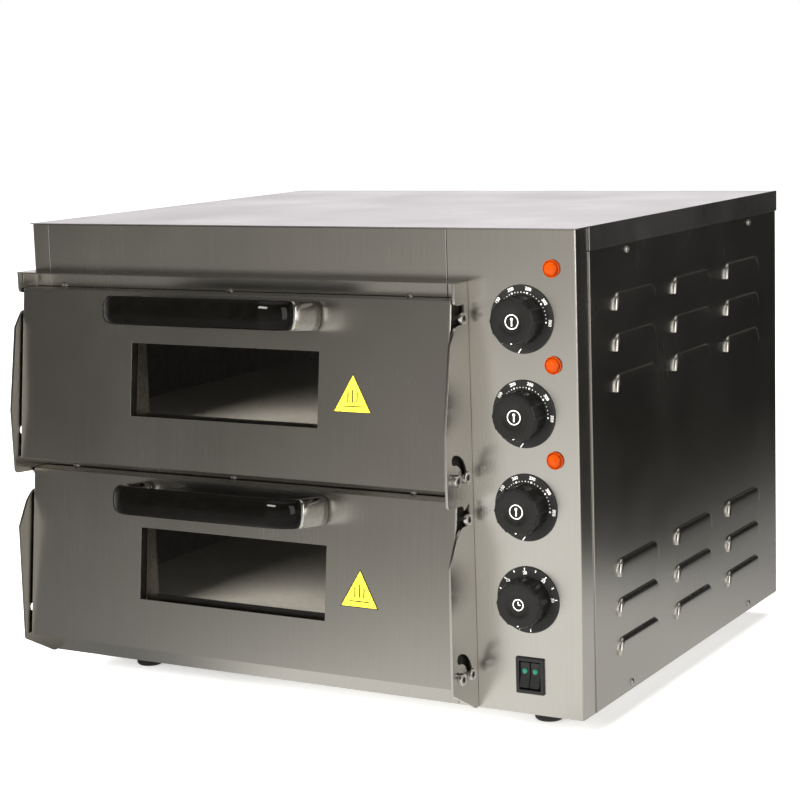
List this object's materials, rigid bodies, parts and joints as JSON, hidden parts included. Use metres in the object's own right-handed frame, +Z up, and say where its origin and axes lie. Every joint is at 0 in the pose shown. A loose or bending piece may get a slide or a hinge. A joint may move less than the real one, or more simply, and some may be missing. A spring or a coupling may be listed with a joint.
{
  "type": "countertop pizza oven",
  "caption": "Countertop electric pizza oven with stacked stone-deck chambers, drop-down glass doors, bow handles, dial controls and side louvres.",
  "frame": {"origin": "middle of the footprint, at the underside of the feet", "axes": "+X to the right as seen from the front, +Y from the doors towards the back, +Z up"},
  "size_m": [0.568, 0.57, 0.435],
  "materials": {
    "body_sheet_dark": "satin",
    "side_sheet": "satin",
    "top_sheet": "satin",
    "panel_sheet": "satin",
    "hinge_steel": "satin",
    "fastener_chrome": "polished",
    "mineral_wool": "matte",
    "inner_sheet": "satin",
    "chamber_sheet": "satin",
    "door_sheet": "satin",
    "window_glass": "gloss",
    "handle_plastic": "gloss",
    "deck_stone": "matte",
    "heater_sheath": "matte",
    "foot_rubber": "matte",
    "dial_plastic": "satin",
    "knob_plastic": "satin",
    "lamp_lens": "gloss",
    "gland_plastic": "satin",
    "terminal_ceramic": "matte",
    "rocker_plastic": "satin",
    "switch_plastic": "satin",
    "control_case": "matte"
  },
  "bodies": {
    "cabinet": {"right_side_panel": "side_sheet", "left_hinge_plate": "hinge_steel", "right_hinge_plate": "hinge_steel", "control_panel": "panel_sheet", "lower_chamber_liner": "chamber_sheet", "upper_chamber_liner": "chamber_sheet", "lower_bottom_heater": "heater_sheath", "lower_top_heater": "heater_sheath", "upper_bottom_heater": "heater_sheath", "upper_top_heater": "heater_sheath", "base_pan": "side_sheet", "rear_panel": "side_sheet", "top_dial": "dial_plastic", "middle_dial": "dial_plastic", "bottom_dial": "dial_plastic", "timer_dial": "dial_plastic", "top_lamp": "lamp_lens", "middle_lamp": "lamp_lens", "bottom_lamp": "lamp_lens", "cable_gland": "gland_plastic", "lower_pivot_bolt_right": "fastener_chrome", "lower_pivot_bolt_left": "fastener_chrome", "upper_pivot_bolt_right": "fastener_chrome", "upper_pivot_bolt_left": "fastener_chrome", "foot_front_left": "foot_rubber", "foot_front_right": "foot_rubber", "foot_rear_left": "foot_rubber", "foot_rear_right": "foot_rubber", "insulation_blanket": "mineral_wool", "top_thermostat": "control_case", "middle_thermostat": "control_case", "bottom_thermostat": "control_case", "timer_movement": "control_case", "heat_shield": "inner_sheet", "top_cover": "top_sheet", "terminal_block": "terminal_ceramic", "front_frame": "body_sheet_dark", "hood_canopy": "body_sheet_dark", "switch_housing": "switch_plastic", "left_side_panel": "side_sheet", "lower_stone_deck": "deck_stone", "upper_stone_deck": "deck_stone"},
    "upper_door": {"upper_door_skin": "door_sheet", "upper_door_liner": "inner_sheet", "upper_door_glass": "window_glass", "upper_door_handle": "handle_plastic", "upper_guide_pin_left": "fastener_chrome", "upper_guide_pin_right": "fastener_chrome"},
    "lower_door": {"lower_door_skin": "door_sheet", "lower_door_liner": "inner_sheet", "lower_door_glass": "window_glass", "lower_door_handle": "handle_plastic", "lower_guide_pin_left": "fastener_chrome", "lower_guide_pin_right": "fastener_chrome"},
    "top_knob": {"top_knob": "knob_plastic"},
    "middle_knob": {"middle_knob": "knob_plastic"},
    "bottom_knob": {"bottom_knob": "knob_plastic"},
    "timer_knob": {"timer_knob": "knob_plastic"},
    "left_rocker": {"left_rocker": "rocker_plastic"},
    "right_rocker": {"right_rocker": "rocker_plastic"}
  },
  "joints": [
    {"name": "upper_door_hinge", "type": "hinge", "parent": "cabinet", "child": "upper_door", "pos_m": [-0.0502, -0.23389, 0.2274], "axis": [1, 0, 0], "range_deg": [0, 90]},
    {"name": "lower_door_hinge", "type": "hinge", "parent": "cabinet", "child": "lower_door", "pos_m": [-0.0502, -0.23389, 0.0574], "axis": [1, 0, 0], "range_deg": [0, 90]},
    {"name": "top_knob_turn", "type": "hinge", "parent": "cabinet", "child": "top_knob", "pos_m": [0.2293, -0.21189, 0.3603], "axis": [0, 1, 0], "range_deg": [0, 264]},
    {"name": "middle_knob_turn", "type": "hinge", "parent": "cabinet", "child": "middle_knob", "pos_m": [0.2293, -0.21189, 0.2814], "axis": [0, 1, 0], "range_deg": [0, 264]},
    {"name": "bottom_knob_turn", "type": "hinge", "parent": "cabinet", "child": "bottom_knob", "pos_m": [0.2293, -0.21189, 0.2025], "axis": [0, 1, 0], "range_deg": [0, 264]},
    {"name": "timer_knob_turn", "type": "hinge", "parent": "cabinet", "child": "timer_knob", "pos_m": [0.2293, -0.21189, 0.1236], "axis": [0, 1, 0], "range_deg": [0, 270]},
    {"name": "left_rocker_tilt", "type": "hinge", "parent": "cabinet", "child": "left_rocker", "pos_m": [0.22495, -0.19889, 0.05775], "axis": [1, 0, 0], "range_deg": [0, 18]},
    {"name": "right_rocker_tilt", "type": "hinge", "parent": "cabinet", "child": "right_rocker", "pos_m": [0.23465, -0.19889, 0.05775], "axis": [1, 0, 0], "range_deg": [0, 18]}
  ]
}
